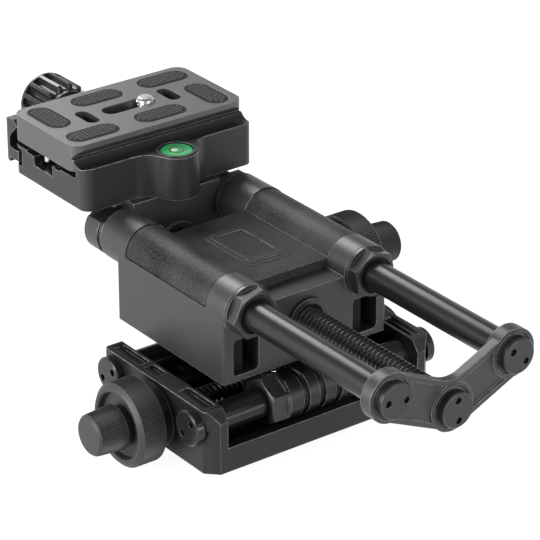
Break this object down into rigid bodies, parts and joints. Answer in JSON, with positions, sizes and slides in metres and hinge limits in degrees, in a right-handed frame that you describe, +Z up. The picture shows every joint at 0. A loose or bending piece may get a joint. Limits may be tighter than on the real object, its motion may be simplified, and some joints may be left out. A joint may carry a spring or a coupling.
{
  "type": "two-way focusing rail with quick-release clamp",
  "caption": "Two-way macro focusing rail with twin-rod slides, knurled drive knobs, lock knobs, bubble level and a dovetail quick-release clamp with its camera plate.",
  "frame": {"origin": "mouth of the tripod socket, in the middle of the base's underside", "axes": "+X to the right along the lower rods, +Y to the rear along the upper rods, +Z up out of the plate's top"},
  "size_m": [0.1291, 0.2318, 0.087],
  "materials": {
    "black_paint": "satin black paint on cast aluminium",
    "black_anodised": "black anodised, satin",
    "grey_anodised": "dark grey anodised, satin",
    "black_steel": "black oxide, semi-gloss",
    "steel": "bright turned steel",
    "bronze": "turned bronze",
    "black_rubber": "matte ribbed rubber",
    "black_plastic": "fine textured plastic",
    "green_vial": "clear green liquid behind a clear lens"
  },
  "bodies": {
    "base": {"base_frame": "black_paint", "lower_screw_bushes": "bronze", "lower_guide_rods": "steel", "lower_rod_caps": "black_steel"},
    "lower_drive": {"lower_lead_screw": "steel", "lower_adjust_knob": "black_anodised", "lower_screw_end_cap": "black_anodised"},
    "lower_lock": {"lower_lock_knob": "black_anodised"},
    "carriage": {"lower_carriage": "black_paint", "lower_rod_bushes": "bronze", "lower_gland_nuts": "black_anodised", "lower_rod_wipers": "black_rubber", "lower_drive_nut": "bronze", "carriage_bolts": "steel", "main_body": "black_paint", "top_cover": "black_plastic", "upper_rod_bushes": "bronze", "front_gland_nuts": "black_anodised", "front_rod_wipers": "black_rubber", "screw_collar": "black_anodised", "nut_bearing": "steel", "shaft_bush": "bronze"},
    "focus_nut": {"rotating_nut": "bronze", "nut_bevel_gear": "steel"},
    "upper_drive": {"drive_shaft": "steel", "drive_bevel_pinion": "steel", "upper_adjust_knob": "black_anodised"},
    "upper_lock": {"upper_lock_knob": "black_anodised"},
    "focus_slide": {"upper_guide_rods": "black_steel", "focus_lead_screw": "black_steel", "front_bracket": "black_paint", "front_bracket_caps": "black_steel", "rear_bracket": "black_paint", "rear_bracket_caps": "black_steel", "clamp_bolts": "steel", "clamp_body": "black_anodised", "level_rim": "black_plastic", "level_vial": "green_vial", "jaw_guide_pins": "steel"},
    "jaw": {"clamp_jaw": "black_anodised", "clamp_knob_washer": "steel"},
    "clamp_drive": {"clamp_knob": "black_anodised", "clamp_screw": "steel"},
    "plate": {"quick_plate": "grey_anodised", "plate_pads": "black_rubber"},
    "clip": {"screw_clip": "steel"},
    "camera_bolt": {"camera_screw": "steel"}
  },
  "joints": [
    {"name": "lower_knob_turn", "type": "hinge", "parent": "base", "child": "lower_drive", "pos_m": [0, 0, 0.0099], "axis": [1, 0, 0], "range_deg": [-3241, 3241]},
    {"name": "lower_lock_turn", "type": "hinge", "parent": "lower_drive", "child": "lower_lock", "pos_m": [-0.065, 0, 0.0099], "axis": [1, 0, 0], "range_deg": [-150, 0]},
    {"name": "cross_slide", "type": "slide", "parent": "base", "child": "carriage", "axis": [1, 0, 0], "range_m": [-0.018, 0.018]},
    {"name": "upper_knob_turn", "type": "hinge", "parent": "carriage", "child": "upper_drive", "pos_m": [0.04, 0.009, 0.039], "axis": [1, 0, 0], "range_deg": [-11161, 1]},
    {"name": "upper_lock_turn", "type": "hinge", "parent": "upper_drive", "child": "upper_lock", "pos_m": [0.052, 0.009, 0.039], "axis": [1, 0, 0], "range_deg": [0, 150]},
    {"name": "focus_nut_turn", "type": "hinge", "parent": "carriage", "child": "focus_nut", "pos_m": [0, -0.01, 0.039], "axis": [0, 1, 0], "range_deg": [-11161, 1]},
    {"name": "focus_slide_travel", "type": "slide", "parent": "carriage", "child": "focus_slide", "axis": [0, 1, 0], "range_m": [0, 0.062]},
    {"name": "clamp_knob_turn", "type": "hinge", "parent": "jaw", "child": "clamp_drive", "pos_m": [0, 0.12, 0.06415], "axis": [0, 1, 0], "range_deg": [-1, 1801]},
    {"name": "jaw_travel", "type": "slide", "parent": "focus_slide", "child": "jaw", "axis": [0, 1, 0], "range_m": [0, 0.005]},
    {"name": "plate_travel", "type": "slide", "parent": "focus_slide", "child": "plate", "axis": [1, 0, 0], "range_m": [-0.015, 0.015]},
    {"name": "camera_screw_travel", "type": "slide", "parent": "plate", "child": "clip", "axis": [1, 0, 0], "range_m": [-0.0139, 0]},
    {"name": "camera_screw_turn", "type": "hinge", "parent": "clip", "child": "camera_bolt", "pos_m": [0.00705, 0.0797, 0.076], "axis": [0, 0, 1], "continuous": true}
  ],
  "couplings": [
    {"joint": "lower_knob_turn", "follows": "cross_slide", "rad_per_m": -3141.6},
    {"joint": "upper_knob_turn", "follows": "focus_slide_travel", "rad_per_m": -3141.6},
    {"joint": "focus_nut_turn", "follows": "focus_slide_travel", "rad_per_m": -3141.6},
    {"joint": "clamp_knob_turn", "follows": "jaw_travel", "rad_per_m": 6283.2}
  ]
}
